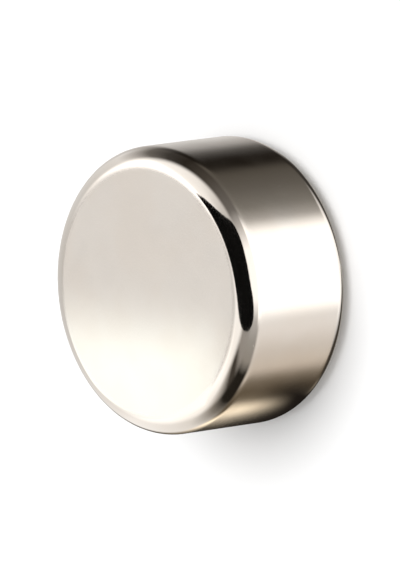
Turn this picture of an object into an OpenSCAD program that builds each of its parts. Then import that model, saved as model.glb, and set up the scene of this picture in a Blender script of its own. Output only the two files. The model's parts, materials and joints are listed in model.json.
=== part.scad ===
// Disc magnet, nickel plated.
// One solid disc: both pole faces are flat, and the edge all round each face
// is rounded by tumbling before the disc is plated.
// It lies on one pole face. The origin is the centre of that face, and +Z runs
// along the disc's axis to the other face. All sizes are over the plating.

/* [Disc] */
// Diameter of the disc
disc_d = 10; // [4:0.5:40]
// Thickness of the disc, from pole face to pole face
disc_t = 5; // [2:0.5:20]

/* [Edges] */
// Radius of the round between each pole face and the rim
edge_r = 0.6; // [0.1:0.05:0.9]

/* [Hidden] */

// Smoothness of the preview
$fn = 96;

nickel = "#D6CFC3";

// Radius of the rim, and of the flat part of a pole face
rim_r = disc_d / 2;
flat_r = rim_r - edge_r;

// Height of the straight part of the rim, between the two rounds
rim_h = disc_t - 2 * edge_r;

// One half of the disc's cross-section, from the axis (x = 0) to the rim
module half_section() {
    // From face to face, as wide as the flat of a pole face
    square([flat_r, disc_t]);
    // Out to the rim, between the rounds
    translate([0, edge_r]) square([rim_r, rim_h]);
    // The round at the lower edge and the one at the upper edge
    for (y = [edge_r, edge_r + rim_h])
        translate([flat_r, y]) circle(r = edge_r);
}

module magnet_disc() {
    color(nickel) rotate_extrude() half_section();
}

magnet_disc();
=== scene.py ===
import json
import math

import bpy
from mathutils import Matrix, Vector, noise


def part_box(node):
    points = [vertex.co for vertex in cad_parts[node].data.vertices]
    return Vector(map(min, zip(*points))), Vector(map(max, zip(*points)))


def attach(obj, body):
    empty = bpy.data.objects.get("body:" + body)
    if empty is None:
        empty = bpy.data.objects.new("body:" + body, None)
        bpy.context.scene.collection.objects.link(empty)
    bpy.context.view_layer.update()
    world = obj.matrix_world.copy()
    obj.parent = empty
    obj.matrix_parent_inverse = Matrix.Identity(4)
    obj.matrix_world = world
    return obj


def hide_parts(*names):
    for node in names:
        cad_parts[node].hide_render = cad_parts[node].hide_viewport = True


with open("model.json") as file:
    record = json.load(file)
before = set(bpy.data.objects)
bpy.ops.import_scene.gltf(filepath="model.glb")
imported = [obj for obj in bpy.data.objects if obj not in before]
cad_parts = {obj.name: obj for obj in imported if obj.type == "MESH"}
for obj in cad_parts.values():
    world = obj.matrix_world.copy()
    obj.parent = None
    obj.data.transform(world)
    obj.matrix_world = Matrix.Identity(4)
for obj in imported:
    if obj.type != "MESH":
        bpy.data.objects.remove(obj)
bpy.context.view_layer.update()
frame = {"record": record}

# Every length is in metres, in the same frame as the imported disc: it lies on
# the floor at z = 0, with its axis along +Z.
MM = 0.001

# Sizes of the disc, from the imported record
rim_mount = next(m for m in frame["record"]["mounts"] if m["name"] == "rim")
RIM_R = rim_mount["dims"]["r_mm"] * MM
RIM_H = rim_mount["dims"]["length_mm"] * MM
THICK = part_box("magnet_disc")[1][2]
EDGE_R = (THICK - RIM_H) / 2
FLAT_R = RIM_R - EDGE_R
MIDDLE = Vector((0, 0, THICK / 2))


# Camera

CAM_DISTANCE = 0.392
# Height of the camera over the plane of the face
CAM_ELEVATION = math.radians(42.7)
# The direction in the picture that the upper face points in, from the
# picture's right, anticlockwise: to the left and a little down
FACE_POINTS = math.radians(187.8)
CAM_LENS_MM = 718


def add_camera():
    """The camera, rolled about its line of sight until the face points as FACE_POINTS says."""
    back = Vector((0, -math.cos(CAM_ELEVATION), math.sin(CAM_ELEVATION)))
    ahead = -back
    axis = Vector((0, 0, 1))
    axis_in_picture = (axis - axis.dot(ahead) * ahead).normalized()
    across = axis_in_picture.cross(ahead)
    right = math.cos(FACE_POINTS) * axis_in_picture - math.sin(FACE_POINTS) * across
    up = right.cross(ahead)
    data = bpy.data.cameras.new("camera")
    data.lens = CAM_LENS_MM
    camera = bpy.data.objects.new("camera", data)
    bpy.context.scene.collection.objects.link(camera)
    place = MIDDLE + back * CAM_DISTANCE
    turn = Matrix((right, up, back)).transposed().to_4x4()
    camera.matrix_world = Matrix.Translation(place) @ turn
    bpy.context.scene.camera = camera
    return camera


camera = add_camera()


# Node helpers

def new_tree(owner):
    """The empty node tree of a material or a world."""
    owner.use_nodes = True
    tree = owner.node_tree
    tree.nodes.clear()
    return tree


def node(tree, kind, inputs=None, **settings):
    """One node. inputs maps a socket's name or number to a value or to another node's output."""
    made = tree.nodes.new(kind)
    for name, value in settings.items():
        setattr(made, name, value)
    for key, value in (inputs or {}).items():
        if isinstance(value, bpy.types.NodeSocket):
            tree.links.new(value, made.inputs[key])
        else:
            made.inputs[key].default_value = value
    return made


def math_node(tree, operation, *values):
    return node(tree, "ShaderNodeMath", dict(enumerate(values)), operation=operation).outputs[0]


def smooth_step(tree, value, low, high):
    """0 below low and 1 above high, or the other way round if low is the larger."""
    made = node(tree, "ShaderNodeMapRange", {"Value": value, "From Min": low, "From Max": high},
                interpolation_type="SMOOTHSTEP")
    return made.outputs["Result"]


# Floor, light and what the metal reflects

FLOOR_GREY = 0.86
FLOOR_HALF = 1.5
# Brightness of the background and of the light that falls in from all round
OPEN_LIGHT = 0.82

# What the metal sees round it. Each belt is a ring of soft panels: the direction
# in degrees (0 is -Y, the camera's side, and 90 is +X) and the colour there.
# The ground belt is what the round next to the floor reflects.
GROUND_BELT = [
    (-180, (0.85, 0.84, 0.82)),
    (-145, (0.06, 0.05, 0.04)),
    (-85, (0.06, 0.05, 0.04)),
    (-45, (1.30, 1.30, 1.30)),
    (55, (1.30, 1.30, 1.30)),
    (90, (0.05, 0.045, 0.04)),
    (150, (0.05, 0.045, 0.04)),
    (180, (0.85, 0.84, 0.82)),
]
# The low belt is below the level of the disc, and the rim reflects it
LOW_BELT = [
    (-180, (0.80, 0.77, 0.73)),
    (-160, (0.06, 0.05, 0.035)),
    (-140, (0.45, 0.40, 0.32)),
    (-124, (1.75, 1.53, 1.19)),
    (-112, (0.17, 0.14, 0.10)),
    (-102, (0.13, 0.10, 0.065)),
    (-88, (0.25, 0.21, 0.16)),
    (-78, (0.80, 0.72, 0.63)),
    (-62, (0.82, 0.77, 0.72)),
    (-46, (1.04, 1.01, 0.99)),
    (-34, (1.05, 1.04, 1.03)),
    (-15, (0.55, 0.54, 0.52)),
    (25, (0.50, 0.49, 0.47)),
    (48, (0.48, 0.47, 0.45)),
    (57, (0.24, 0.23, 0.21)),
    (76, (0.15, 0.14, 0.125)),
    (94, (0.11, 0.10, 0.085)),
    (102, (0.015, 0.012, 0.009)),
    (115, (0.015, 0.012, 0.009)),
    (128, (0.11, 0.105, 0.10)),
    (140, (0.48, 0.47, 0.46)),
    (160, (0.75, 0.73, 0.71)),
    (180, (0.80, 0.77, 0.73)),
]
# The high belt stands over the low one, and the rounds reflect it
HIGH_BELT = [
    (-180, (0.75, 0.75, 0.75)),
    (-155, (1.25, 1.25, 1.25)),
    (-125, (1.00, 0.99, 0.97)),
    (-106, (0.30, 0.28, 0.25)),
    (-94, (0.02, 0.017, 0.013)),
    (-70, (0.02, 0.017, 0.013)),
    (-60, (0.36, 0.34, 0.31)),
    (-45, (0.42, 0.41, 0.39)),
    (-30, (0.60, 0.59, 0.58)),
    (-15, (1.50, 1.50, 1.50)),
    (20, (1.50, 1.50, 1.50)),
    (36, (0.70, 0.69, 0.68)),
    (50, (0.20, 0.19, 0.18)),
    (80, (0.08, 0.07, 0.06)),
    (100, (0.03, 0.025, 0.02)),
    (114, (0.06, 0.055, 0.05)),
    (128, (0.18, 0.17, 0.16)),
    (146, (1.00, 1.00, 1.00)),
    (162, (0.85, 0.85, 0.85)),
    (180, (0.75, 0.75, 0.75)),
]
# The roof leans in over the high belt, and the faces reflect it
ROOF = [
    (-180, (0.71, 0.71, 0.71)),
    (-173, (0.74, 0.74, 0.74)),
    (-160, (1.65, 1.65, 1.65)),
    (-120, (1.30, 1.30, 1.29)),
    (-104, (0.60, 0.58, 0.55)),
    (-88, (0.07, 0.06, 0.05)),
    (-78, (0.07, 0.06, 0.05)),
    (-65, (0.38, 0.36, 0.34)),
    (-20, (0.45, 0.44, 0.42)),
    (60, (0.80, 0.79, 0.78)),
    (95, (1.20, 1.20, 1.20)),
    (130, (1.35, 1.35, 1.35)),
    (146, (2.10, 2.10, 2.12)),
    (160, (2.05, 2.05, 2.07)),
    (173, (0.74, 0.74, 0.74)),
    (180, (0.71, 0.71, 0.71)),
]
ZENITH = (1.30, 1.30, 1.30)
# Elevations in degrees between which each band gives way to the next one up
GROUND_TO_LOW = (-57, -48)
LOW_TO_HIGH = (-30, -12)
HIGH_TO_ROOF = (18, 36)
ROOF_TO_ZENITH = (54, 72)


def belt(tree, share, stops):
    """The colour of a belt where share, from 0 to 1, is the way round it."""
    made = node(tree, "ShaderNodeValToRGB", {"Fac": share})
    ramp = made.color_ramp
    while len(ramp.elements) < len(stops):
        ramp.elements.new(0.5)
    for stop, (degrees, colour) in zip(ramp.elements, stops):
        stop.position = (degrees + 180) / 360
        stop.color = (*colour, 1)
    return made.outputs["Color"]


def blend(tree, share, first, second):
    """The first colour where share is 0 and the second where it is 1. Each may be a tuple or a socket."""
    made = node(tree, "ShaderNodeMix", data_type="RGBA")
    for name, value in (("Factor", share), ("A", first), ("B", second)):
        socket = next(s for s in made.inputs if s.name == name and s.enabled)
        if isinstance(value, tuple):
            socket.default_value = (*value, 1)
        else:
            tree.links.new(value, socket)
    return next(s for s in made.outputs if s.enabled)


def way_round(tree, parts):
    """The direction of a point from the disc's axis, in radians from -Y towards +X."""
    towards = math_node(tree, "MULTIPLY", parts["Y"], -1.0)
    return math_node(tree, "ARCTAN2", parts["X"], towards)


def add_world():
    """Plain light for the floor and the background, and belts of soft panels for the metal to reflect."""
    world = bpy.data.worlds.new("studio")
    bpy.context.scene.world = world
    tree = new_tree(world)
    ray = node(tree, "ShaderNodeTexCoord").outputs["Generated"]
    parts = node(tree, "ShaderNodeSeparateXYZ", {0: ray}).outputs
    share = math_node(tree, "MULTIPLY_ADD", way_round(tree, parts), 0.5 / math.pi, 0.5)
    elevation = math_node(tree, "MULTIPLY", math_node(tree, "ARCSINE", parts["Z"]), 180 / math.pi)
    seen = belt(tree, share, GROUND_BELT)
    for (low, high), band in (
        (GROUND_TO_LOW, belt(tree, share, LOW_BELT)),
        (LOW_TO_HIGH, belt(tree, share, HIGH_BELT)),
        (HIGH_TO_ROOF, belt(tree, share, ROOF)),
        (ROOF_TO_ZENITH, ZENITH),
    ):
        seen = blend(tree, smooth_step(tree, elevation, low, high), seen, band)
    reflected = node(tree, "ShaderNodeBackground", {"Color": seen})
    plain = node(tree, "ShaderNodeBackground", {"Color": (OPEN_LIGHT, OPEN_LIGHT, OPEN_LIGHT, 1)})
    glossy = node(tree, "ShaderNodeLightPath").outputs["Is Glossy Ray"]
    both = node(tree, "ShaderNodeMixShader", {0: glossy, 1: plain.outputs[0], 2: reflected.outputs[0]})
    node(tree, "ShaderNodeOutputWorld", {"Surface": both.outputs[0]})


def square(half):
    """The corners of a level square round the disc's axis."""
    return [(-half, -half, 0), (half, -half, 0), (half, half, 0), (-half, half, 0)]


def plane(name, corners, material):
    """A flat piece of the studio."""
    mesh = bpy.data.meshes.new(name)
    mesh.from_pydata(corners, [], [tuple(range(len(corners)))])
    made = bpy.data.objects.new(name, mesh)
    bpy.context.scene.collection.objects.link(made)
    made.data.materials.append(material)
    return made


def only_reflected(card):
    """The card shows in reflections and nowhere else."""
    card.visible_camera = False
    card.visible_diffuse = False
    card.visible_shadow = False


def add_floor():
    material = bpy.data.materials.new("floor")
    tree = new_tree(material)
    surface = node(tree, "ShaderNodeBsdfDiffuse", {"Color": (FLOOR_GREY, FLOOR_GREY, FLOOR_GREY, 1)})
    node(tree, "ShaderNodeOutputMaterial", {"Surface": surface.outputs[0]})
    floor = plane("floor", square(FLOOR_HALF), material)
    # The metal reflects the belts down there in place of the floor
    floor.visible_glossy = False


def glow(name, colour):
    material = bpy.data.materials.new(name)
    tree = new_tree(material)
    light = node(tree, "ShaderNodeEmission", {"Color": (*colour, 1)})
    node(tree, "ShaderNodeOutputMaterial", {"Surface": light.outputs[0]})
    return material


def glow_in_places(tree, colour, share):
    """The surface glows where share is 1 and is clear where it is 0."""
    light = node(tree, "ShaderNodeEmission", {"Color": (*colour, 1)})
    clear = node(tree, "ShaderNodeBsdfTransparent")
    both = node(tree, "ShaderNodeMixShader", {0: share, 1: clear.outputs[0], 2: light.outputs[0]})
    node(tree, "ShaderNodeOutputMaterial", {"Surface": both.outputs[0]})


# What the round at the floor reflects right under the disc: how far it reaches, how
# far it lies above the floor, its shade and how many corners it has
CONTACT_R = RIM_R - 0.15 * MM
CONTACT_LIFT = 0.002 * MM
CONTACT_SHADE = (0.40, 0.39, 0.37)
CONTACT_CORNERS = 96


def add_contact():
    """A shaded patch right under the disc, in place of the floor there."""
    ring = []
    for i in range(CONTACT_CORNERS):
        turn = 2 * math.pi * i / CONTACT_CORNERS
        ring.append((CONTACT_R * math.cos(turn), CONTACT_R * math.sin(turn), CONTACT_LIFT))
    only_reflected(plane("contact", ring, glow("contact", CONTACT_SHADE)))


# The corners of the dark room behind the camera: how many degrees each lies to the
# right of the camera and above it, measured from the disc. Right and up are those of
# the picture.
ROOM_CORNERS = [
    (-78, 12),
    (-69, -21),
    (-36, -29),
    (34, -36),
    (31, -14),
    (14, 2),
    (15, 42),
    (-38, 34),
    (-80, 38),
]
# How many times the card's corners are cut, each time to half as blunt
ROOM_CUTS = 3
# How far behind the camera the card is, and its shade
ROOM_BEHIND = 0.01
ROOM_SHADE = (0.003, 0.003, 0.003)


def cut_corners(corners):
    """The outline with each corner cut off a quarter of the way along the edges that meet there."""
    cut = []
    for i, (x, y) in enumerate(corners):
        next_x, next_y = corners[(i + 1) % len(corners)]
        cut.append((0.75 * x + 0.25 * next_x, 0.75 * y + 0.25 * next_y))
        cut.append((0.25 * x + 0.75 * next_x, 0.25 * y + 0.75 * next_y))
    return cut


def add_dark_room():
    """A dark card behind the camera. It goes with the camera."""
    outline = ROOM_CORNERS
    for _ in range(ROOM_CUTS):
        outline = cut_corners(outline)
    corners = []
    for right, up in outline:
        x = CAM_DISTANCE * math.tan(math.radians(right))
        y = CAM_DISTANCE * math.tan(math.radians(up))
        corners.append((x, y, ROOM_BEHIND))
    card = plane("dark_room", corners, glow("dark_room", ROOM_SHADE))
    only_reflected(card)
    card.parent = camera


# Two cards lie level, and their light fades towards their four sides. Each starts at
# a corner and has its length along one direction and its width to the left of that.
# The small bright sheet hangs close over the face and brightens the part of it that
# reflects the sheet.
SHEET_CORNER = Vector((-0.50, -2.10, 6.5)) * MM
SHEET_ALONG = Vector((0.17, 0.985, 0))
SHEET_SIZE = (10 * MM, 5.6 * MM)
SHEET_LIGHT = (1.56, 1.64, 1.63)
# How wide the fade is at each end of the length, and at each side of the width
SHEET_FADES = ((0.3 * MM, 1.0 * MM), (2.8 * MM, 1.0 * MM))
# The dark strip lies on the floor on the -X side of the disc and darkens the foot of
# the rim there
SHADE_COLOUR = (0.015, 0.012, 0.010)
SHADE_CORNER = Vector((-2.5, -3.9, 0.001)) * MM
SHADE_ALONG = Vector((0, 1, 0))
SHADE_SIZE = (9.5 * MM, 5.5 * MM)
SHADE_FADES = ((1.8 * MM, 2.0 * MM), (0.5 * MM, 2.7 * MM))


def soft_glow(name, colour, size, fades):
    """A glow that fades towards the four sides of a card."""
    material = bpy.data.materials.new(name)
    tree = new_tree(material)
    place = node(tree, "ShaderNodeTexCoord").outputs["Object"]
    parts = node(tree, "ShaderNodeSeparateXYZ", {0: place}).outputs
    share = 1.0
    for axis, length, (rise, fall) in zip("XY", size, fades):
        share = math_node(tree, "MULTIPLY", share, smooth_step(tree, parts[axis], 0.0, rise))
        share = math_node(tree, "MULTIPLY", share, smooth_step(tree, parts[axis], length, length - fall))
    glow_in_places(tree, colour, share)
    return material


def add_level_card(name, colour, corner, along, size, fades):
    length, width = size
    corners = [(0, 0, 0), (length, 0, 0), (length, width, 0), (0, width, 0)]
    card = plane(name, corners, soft_glow(name, colour, size, fades))
    only_reflected(card)
    ahead = along.normalized()
    up = Vector((0, 0, 1))
    turn = Matrix((ahead, up.cross(ahead), up)).transposed().to_4x4()
    card.matrix_world = Matrix.Translation(corner) @ turn


# The brightest panel lies on the floor in front of the disc. It is a wedge that
# widens away from the disc, so that the rim reflects it in one band in the main view
# and reflects little of it from behind.
WEDGE_LIGHT = (1.75, 1.75, 1.75)
WEDGE_LIFT = 0.0005 * MM
# Half the size of the square that carries the wedge
WEDGE_HALF = 30 * MM
# Where the light of each side and of each end begins and where it is full: the sides
# in degrees as the rim shows them in the main view, the ends by the distance from the
# disc's axis
WEDGE_SIDES = ((-38, -24), (49, 32))
WEDGE_ENDS = ((RIM_R, RIM_R + 0.3 * MM), (30 * MM, 20 * MM))


def add_bright_wedge():
    """A bright wedge on the floor in front of the disc."""
    material = bpy.data.materials.new("bright_wedge")
    tree = new_tree(material)
    place = node(tree, "ShaderNodeTexCoord").outputs["Object"]
    parts = node(tree, "ShaderNodeSeparateXYZ", {0: place}).outputs
    radius = node(tree, "ShaderNodeVectorMath", {0: place}, operation="LENGTH").outputs["Value"]
    # The rim mirrors a spot of the floor towards the camera from a direction that is
    # this many times as far round as the spot
    stretch = math_node(tree, "DIVIDE", radius, math_node(tree, "SUBTRACT", radius, RIM_R / 2))
    turn = math_node(tree, "MULTIPLY", way_round(tree, parts), stretch)
    share = 1.0
    for low, high in WEDGE_SIDES:
        side = smooth_step(tree, turn, math.radians(low), math.radians(high))
        share = math_node(tree, "MULTIPLY", share, side)
    for low, high in WEDGE_ENDS:
        share = math_node(tree, "MULTIPLY", share, smooth_step(tree, radius, low, high))
    glow_in_places(tree, WEDGE_LIGHT, share)
    wedge = plane("bright_wedge", square(WEDGE_HALF), material)
    wedge.location.z = WEDGE_LIFT
    only_reflected(wedge)


# The key light: where it hangs, its width and its power
KEY_PLACE = Vector((0.12, -0.06, 0.40))
KEY_SIZE = 0.34
KEY_POWER = 1.2


def add_key_light():
    data = bpy.data.lights.new("key", "AREA")
    data.shape = "DISK"
    data.size = KEY_SIZE
    data.energy = KEY_POWER
    key = bpy.data.objects.new("key", data)
    bpy.context.scene.collection.objects.link(key)
    key.location = KEY_PLACE
    key.rotation_mode = "QUATERNION"
    key.rotation_quaternion = (MIDDLE - key.location).to_track_quat("-Z", "Y")
    key.visible_glossy = False
    key.visible_camera = False


add_world()
add_floor()
add_contact()
add_dark_room()
add_bright_wedge()
add_level_card("bright_sheet", SHEET_LIGHT, SHEET_CORNER, SHEET_ALONG, SHEET_SIZE, SHEET_FADES)
add_level_card("left_shade", SHADE_COLOUR, SHADE_CORNER, SHADE_ALONG, SHADE_SIZE, SHADE_FADES)
add_key_light()


# Nickel

# The satin middle of a face. Outside it the face is as bright as the rounds.
SATIN_R = FLAT_R - 0.12 * MM
# The satin's border wanders by noise. How far out from SATIN_R it begins, how far out
# it is full, and how much and over what length it wanders
SATIN_BEGINS = 0.16 * MM
SATIN_FULL = -0.04 * MM
SATIN_WANDER = 0.12 * MM
SATIN_WANDER_SIZE = 1.2 * MM
# How far past the rim's straight band its own finish begins, and where it is full
RIM_BEGINS = 0.05 * MM
RIM_FULL = -0.10 * MM
# Roughness of the satin, of the rounds and of the rim, from the smoothest to the
# roughest spots
SATIN_ROUGH = (0.34, 0.40)
ROUND_ROUGH = (0.06, 0.09)
RIM_ROUGH = (0.15, 0.20)
# The plating's colour and that of its faint warm blotches
PLATE = (0.725, 0.672, 0.613)
BLOTCH = (0.715, 0.655, 0.590)
# Heights of the satin's grain, of the rim's grain and of the fine lines that
# grinding left round the rim, and depth of a pit
SATIN_GRAIN = 5e-6
RIM_GRAIN = 0.5e-6
RIM_LAY = 0.4e-6
PIT_DEPTH = 3e-6
# Sizes of the spots of unlike roughness, of the blotches and of the two grains
CLOUD_SIZE = 0.9 * MM
BLOTCH_SIZE = 1.9 * MM
SATIN_GRAIN_SIZE = 0.07 * MM
RIM_GRAIN_SIZE = 0.16 * MM
# The noise over which a blotch fades in
BLOTCH_EDGE = (0.35, 0.65)
# The lines round the rim: their width and how far one goes
LAY_WIDTH = 0.06 * MM
LAY_LENGTH = 2.5 * MM
# The pits: the size of the cells that hold one each, how large a pit is as a share of
# that (outside and at its floor), and the share of the cells that stay without one
PIT_CELL = 1.1 * MM
PIT_EDGE = (0.040, 0.015)
PITLESS = 0.65
# The range that the noise keeps to nearly everywhere
NOISE_RANGE = (0.3, 0.7)


def noise_at(tree, place, size, detail):
    """Smooth noise from 0 to 1, about 0.5 on average, with spots as large as size."""
    made = node(tree, "ShaderNodeTexNoise", {"Vector": place, "Scale": 1 / size, "Detail": detail})
    return made.outputs["Fac"]


def between(tree, share, low_high):
    """The value at share of the way from the low one to the high one, where share is a noise."""
    made = node(tree, "ShaderNodeMapRange", {
        "Value": share,
        "From Min": NOISE_RANGE[0],
        "From Max": NOISE_RANGE[1],
        "To Min": low_high[0],
        "To Max": low_high[1],
    })
    return made.outputs["Result"]


def pits(tree, place):
    """1 in a few small round pits and 0 elsewhere."""
    made = node(tree, "ShaderNodeTexVoronoi", {"Vector": place, "Scale": 1 / PIT_CELL})
    inside = smooth_step(tree, made.outputs["Distance"], *PIT_EDGE)
    cell = node(tree, "ShaderNodeSeparateXYZ", {0: made.outputs["Color"]}).outputs["X"]
    return math_node(tree, "MULTIPLY", inside, math_node(tree, "GREATER_THAN", cell, PITLESS))


def lay(tree, parts):
    """Noise drawn out round the disc, so that it makes fine lines on the rim."""
    across = 1 / LAY_WIDTH
    along = 1 / LAY_LENGTH
    drawn = node(tree, "ShaderNodeCombineXYZ", {
        0: math_node(tree, "MULTIPLY", parts["X"], along),
        1: math_node(tree, "MULTIPLY", parts["Y"], along),
        2: math_node(tree, "MULTIPLY", parts["Z"], across),
    })
    return noise_at(tree, drawn.outputs[0], 1.0, 2)


def nickel():
    material = bpy.data.materials.new("nickel_plate")
    tree = new_tree(material)
    place = node(tree, "ShaderNodeTexCoord").outputs["Object"]
    parts = node(tree, "ShaderNodeSeparateXYZ", {0: place}).outputs
    level = node(tree, "ShaderNodeCombineXYZ", {0: parts["X"], 1: parts["Y"]})
    radius = node(tree, "ShaderNodeVectorMath", {0: level.outputs[0]}, operation="LENGTH")
    radius = radius.outputs["Value"]
    drift = noise_at(tree, place, SATIN_WANDER_SIZE, 2)
    wander = math_node(tree, "MULTIPLY_ADD", drift, SATIN_WANDER, radius)
    on_face = smooth_step(tree, wander, SATIN_R + SATIN_BEGINS, SATIN_R + SATIN_FULL)
    off_middle = math_node(tree, "ABSOLUTE", math_node(tree, "SUBTRACT", parts["Z"], THICK / 2))
    on_rim = smooth_step(tree, off_middle, RIM_H / 2 + RIM_BEGINS, RIM_H / 2 + RIM_FULL)

    cloud = noise_at(tree, place, CLOUD_SIZE, 3)
    rough = between(tree, cloud, ROUND_ROUGH)
    for share, low_high in ((on_face, SATIN_ROUGH), (on_rim, RIM_ROUGH)):
        finish = between(tree, cloud, low_high)
        rough = node(tree, "ShaderNodeMix", {"Factor": share, "A": rough, "B": finish}).outputs[0]
    stain = smooth_step(tree, noise_at(tree, place, BLOTCH_SIZE, 2), *BLOTCH_EDGE)
    colour = blend(tree, stain, PLATE, BLOTCH)

    satin = math_node(tree, "MULTIPLY", on_face, SATIN_GRAIN)
    height = math_node(tree, "MULTIPLY", noise_at(tree, place, SATIN_GRAIN_SIZE, 2), satin)
    height = math_node(tree, "MULTIPLY_ADD", noise_at(tree, place, RIM_GRAIN_SIZE, 2), RIM_GRAIN, height)
    lines = math_node(tree, "MULTIPLY", on_rim, RIM_LAY)
    height = math_node(tree, "MULTIPLY_ADD", lay(tree, parts), lines, height)
    height = math_node(tree, "MULTIPLY_ADD", pits(tree, place), -PIT_DEPTH, height)
    bump = node(tree, "ShaderNodeBump", {"Strength": 1.0, "Distance": 1.0, "Height": height})
    surface = node(tree, "ShaderNodeBsdfPrincipled", {
        "Base Color": colour,
        "Metallic": 1.0,
        "Roughness": rough,
        "Normal": bump.outputs[0],
    })
    node(tree, "ShaderNodeOutputMaterial", {"Surface": surface.outputs[0]})
    return material


# The disc

SEGMENTS = 360
# Steps in the drooping margin of a face, in a round, and up the wall of the rim
MARGIN_STEPS = 5
ROUND_STEPS = 18
WALL_STEPS = 24
# The tumbled edge starts with a margin of the face that droops a little, and the
# round goes on from its tilt
MARGIN = 0.20 * MM
MARGIN_TILT = math.radians(10)
ROUND_R = EDGE_R / (1 - math.sin(MARGIN_TILT))
MARGIN_DEPTH = MARGIN * math.tan(MARGIN_TILT) / 2
# How deep the rim's waves and the unevenness of the rounds are, and how long
WAVES = [(3.0e-6, 2.2 * MM), (0.5e-6, 0.8 * MM)]
UNEVEN = (14e-6, 3.5 * MM)
# Added to the depth of the waves, so that the skin stays inside the plain disc
SKIN = 5e-6
# Rings in the flat of a face, as shares of its radius
FLAT_SHARES = (0.25, 0.5, 0.75, 0.9, 0.97, 0.99)


def upper_edge():
    """Points (radius, height, tilt) from the flat of the upper face down to the rim's wall."""
    points = []
    for i in range(MARGIN_STEPS + 1):
        share = i / MARGIN_STEPS
        radius = FLAT_R - MARGIN * (1 - share)
        points.append((radius, THICK - MARGIN_DEPTH * share ** 2, MARGIN_TILT * share))
    for i in range(1, ROUND_STEPS + 1):
        tilt = MARGIN_TILT + (math.pi / 2 - MARGIN_TILT) * i / ROUND_STEPS
        radius = FLAT_R + ROUND_R * (math.sin(tilt) - math.sin(MARGIN_TILT))
        drop = MARGIN_DEPTH + ROUND_R * (math.cos(MARGIN_TILT) - math.cos(tilt))
        points.append((radius, THICK - drop, tilt))
    return points


def half_section():
    """Points (radius, height, tilt) of the disc's outline, from the upper face to the lower one."""
    inner = FLAT_R - MARGIN
    flat = [(inner * share, THICK, 0.0) for share in FLAT_SHARES]
    upper = flat + upper_edge()
    top = upper[-1][1]
    wall = []
    for i in range(1, WALL_STEPS):
        wall.append((RIM_R, top - (2 * top - THICK) * i / WALL_STEPS, math.pi / 2))
    lower = [(radius, THICK - height, math.pi - tilt) for radius, height, tilt in reversed(upper)]
    return upper + wall + lower


def skin_point(radius, height, tilt, turn):
    """A point of the disc's skin, which lies up to 0.02 mm inside the plain disc."""
    level = Vector((math.cos(turn), math.sin(turn), 0))
    point = level * radius + Vector((0, 0, height))
    outward = level * math.sin(tilt) + Vector((0, 0, math.cos(tilt)))
    off_face = max(0.0, math.sin(tilt) - math.sin(MARGIN_TILT))
    depth = SKIN
    for wave, length in WAVES:
        depth += wave * (1 + noise.noise(point / length)) / 2
    depth *= off_face
    deepest, length = UNEVEN
    # 1 in the middle of a round and 0 on the faces and the rim
    on_round = max(0.0, math.sin(2 * min(tilt, math.pi - tilt)))
    depth += deepest * (1 + noise.noise(point / length)) / 2 * on_round
    return point - outward * depth


def build_disc():
    """The disc: the outline turned round the axis, closed by a fan of triangles in each face."""
    outline = half_section()
    points = [(0.0, 0.0, THICK)]
    for radius, height, tilt in outline:
        for i in range(SEGMENTS):
            points.append(skin_point(radius, height, tilt, 2 * math.pi * i / SEGMENTS))
    points.append((0.0, 0.0, 0.0))
    faces = []
    last = 1 + (len(outline) - 1) * SEGMENTS
    for i in range(SEGMENTS):
        j = (i + 1) % SEGMENTS
        faces.append((0, 1 + i, 1 + j))
        for k in range(len(outline) - 1):
            upper = 1 + k * SEGMENTS
            lower = upper + SEGMENTS
            faces.append((upper + i, lower + i, lower + j, upper + j))
        faces.append((last + i, len(points) - 1, last + j))
    mesh = bpy.data.meshes.new("disc")
    mesh.from_pydata(points, [], faces)
    mesh.shade_smooth()
    disc = bpy.data.objects.new("disc", mesh)
    bpy.context.scene.collection.objects.link(disc)
    disc.data.materials.append(nickel())
    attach(disc, "root")
    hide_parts("magnet_disc")


build_disc()

bpy.context.scene.view_settings.view_transform = "Standard"
